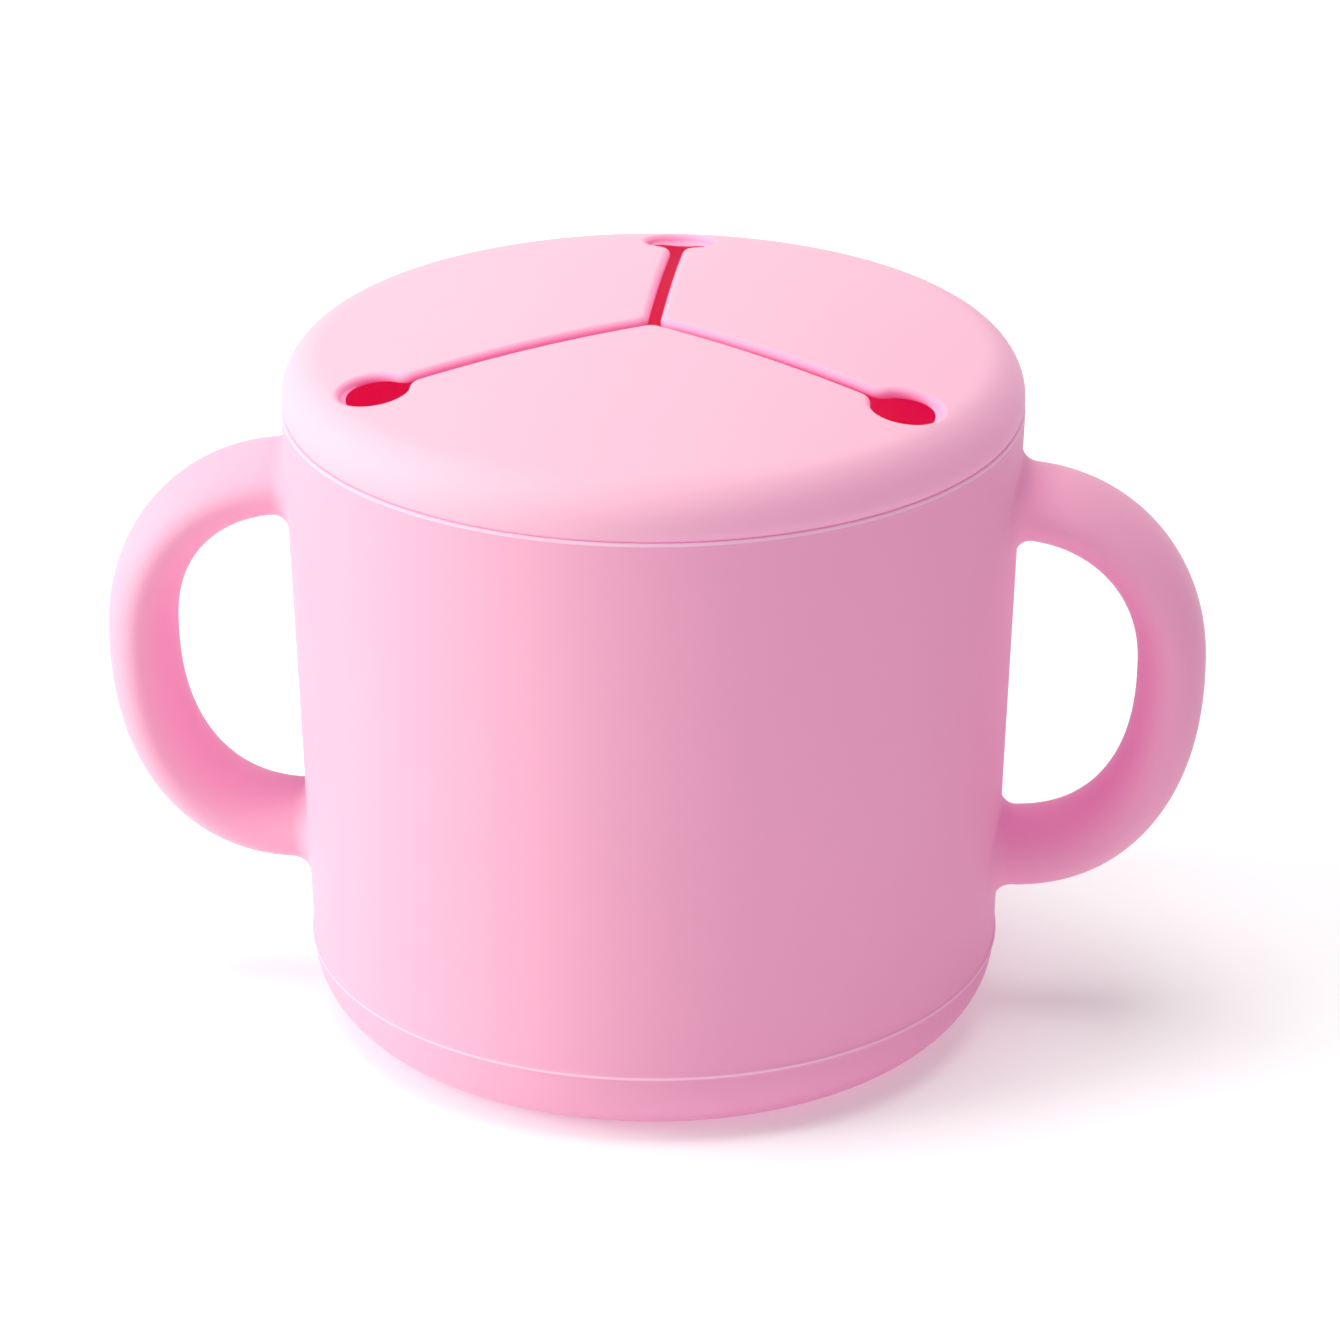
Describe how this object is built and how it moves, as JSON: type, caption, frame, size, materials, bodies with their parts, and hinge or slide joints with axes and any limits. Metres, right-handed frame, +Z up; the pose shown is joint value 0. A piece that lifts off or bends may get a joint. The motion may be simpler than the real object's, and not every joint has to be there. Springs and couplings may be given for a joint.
{
  "type": "toddler snack container",
  "caption": "Round tapered silicone snack cup with two side handles and a push-on domed lid whose top is slit three ways into flaps that a small hand pushes aside.",
  "frame": {"origin": "on the cup's axis, at the level of the table that it stands on", "axes": "+Z up along the cup's axis, +X through the right handle as seen from the front, -Y towards the front flap"},
  "size_m": [0.1298, 0.086, 0.0859],
  "materials": {
    "cup_silicone": "matte pink silicone",
    "lid_silicone": "matte pink silicone"
  },
  "bodies": {
    "cup": {"cup_body": "cup_silicone", "left_handle": "cup_silicone", "right_handle": "cup_silicone"},
    "lid": {"lid_rim": "lid_silicone", "lid_plug": "lid_silicone"},
    "front_flap": {"front_flap": "lid_silicone"},
    "right_flap": {"right_flap": "lid_silicone"},
    "left_flap": {"left_flap": "lid_silicone"}
  },
  "joints": [
    {"name": "lid_lift", "type": "slide", "parent": "cup", "child": "lid", "axis": [0, 0, 1], "range_m": [0, 0.06]},
    {"name": "front_flap_bend", "type": "hinge", "parent": "lid", "child": "front_flap", "pos_m": [0, -0.0172, 0.0838], "axis": [-1, 0, 0], "range_deg": [-45, 60], "stiffness_Nm_per_rad": 0.012},
    {"name": "right_flap_bend", "type": "hinge", "parent": "lid", "child": "right_flap", "pos_m": [0.0149, 0.0086, 0.0838], "axis": [0.5, -0.866, 0], "range_deg": [-45, 60], "stiffness_Nm_per_rad": 0.012},
    {"name": "left_flap_bend", "type": "hinge", "parent": "lid", "child": "left_flap", "pos_m": [-0.0149, 0.0086, 0.0838], "axis": [0.5, 0.866, 0], "range_deg": [-45, 60], "stiffness_Nm_per_rad": 0.012}
  ]
}
